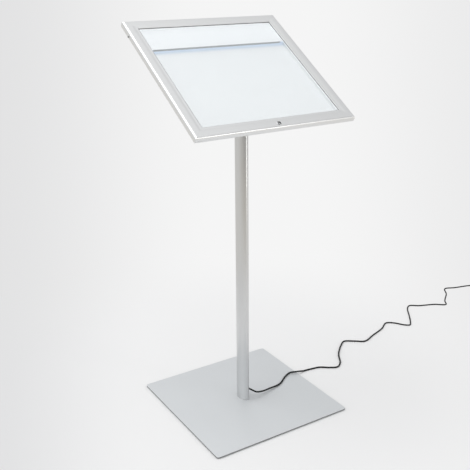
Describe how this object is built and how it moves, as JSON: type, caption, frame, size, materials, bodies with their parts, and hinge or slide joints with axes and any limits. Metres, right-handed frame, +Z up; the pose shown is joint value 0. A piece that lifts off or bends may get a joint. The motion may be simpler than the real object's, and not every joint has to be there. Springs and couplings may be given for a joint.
{
  "type": "illuminated menu stand",
  "caption": "Floor-standing back-lit menu case on an oval post and square base, with a hinged, locking glazed door and a mains lead.",
  "frame": {"origin": "on the floor under the middle of the square base", "axes": "+Z up along the post; +Y towards the raised rear edge of the tilted case, so its low front edge is towards -Y; +X to the right seen from the front"},
  "size_m": [1.6514, 0.4694, 1.1253],
  "materials": {
    "anodised_aluminium": "satin silver anodised",
    "coated_steel": "fine silver-grey powder coat",
    "bare_steel": "zinc plated",
    "chromed_brass": "polished",
    "white_sheet": "white",
    "opal_sheet": "opal diffuser",
    "clear_sheet": "clear acrylic",
    "guide_sheet": "clear acrylic light guide",
    "diode_board": "white board with warm diodes",
    "dark_edging": "dark grey",
    "black_rubber": "black, satin",
    "black_plastic": "black, fine grain",
    "white_plastic": "off-white"
  },
  "bodies": {
    "stand": {"base_plate": "coated_steel", "base_pad_front_left": "black_rubber", "base_pad_front_right": "black_rubber", "base_pad_rear_left": "black_rubber", "base_pad_rear_right": "black_rubber", "post_tube": "anodised_aluminium", "post_foot_insert": "bare_steel", "foot_screw_front": "bare_steel", "foot_screw_rear": "bare_steel", "post_head_bracket": "coated_steel", "bracket_bolt_low_left": "bare_steel", "bracket_bolt_low_right": "bare_steel", "bracket_bolt_high_left": "bare_steel", "bracket_bolt_high_right": "bare_steel", "backing_plate": "bare_steel", "tray_rail_bottom": "anodised_aluminium", "tray_rail_right": "anodised_aluminium", "tray_rail_top": "anodised_aluminium", "tray_rail_left": "anodised_aluminium", "back_panel": "white_sheet", "reflector_sheet": "white_sheet", "light_guide": "guide_sheet", "diffuser_panel": "opal_sheet", "led_strip_bottom": "diode_board", "led_strip_top": "diode_board", "header_cover": "white_sheet", "header_edging": "dark_edging", "led_driver": "white_plastic", "panel_lead": "black_plastic", "hinge_pin_left": "bare_steel", "hinge_pin_right": "bare_steel", "cable_grommet": "black_rubber", "inner_cable": "black_rubber", "inline_connector": "black_plastic", "mains_lead": "black_rubber", "mains_lead_coil": "black_rubber", "power_supply": "black_plastic", "supply_pin_1": "chromed_brass", "supply_pin_2": "chromed_brass"},
    "door": {"door_rail_bottom": "anodised_aluminium", "door_rail_right": "anodised_aluminium", "door_rail_top": "anodised_aluminium", "door_rail_left": "anodised_aluminium", "door_key_low_left": "bare_steel", "door_key_low_right": "bare_steel", "door_key_high_right": "bare_steel", "door_key_high_left": "bare_steel", "glazing_gasket": "white_plastic", "glazing_pane": "clear_sheet", "glazing_retainer": "white_plastic", "hinge_leaf_left": "bare_steel", "hinge_leaf_right": "bare_steel", "hinge_screw_left": "bare_steel", "hinge_screw_right": "bare_steel", "lock_sleeve": "chromed_brass", "lock_nut": "bare_steel"},
    "lock": {"lock_plug": "chromed_brass", "lock_cam": "bare_steel", "cam_screw": "bare_steel"}
  },
  "joints": [
    {"name": "door_hinge", "type": "hinge", "parent": "stand", "child": "door", "pos_m": [0, 0.19565, 1.10116], "axis": [-1, 0, 0], "range_deg": [0, 85]},
    {"name": "lock_turn", "type": "hinge", "parent": "door", "child": "lock", "pos_m": [0.0022, -0.175, 0.88843], "axis": [0, -0.5329, 0.8462], "range_deg": [0, 90]}
  ]
}
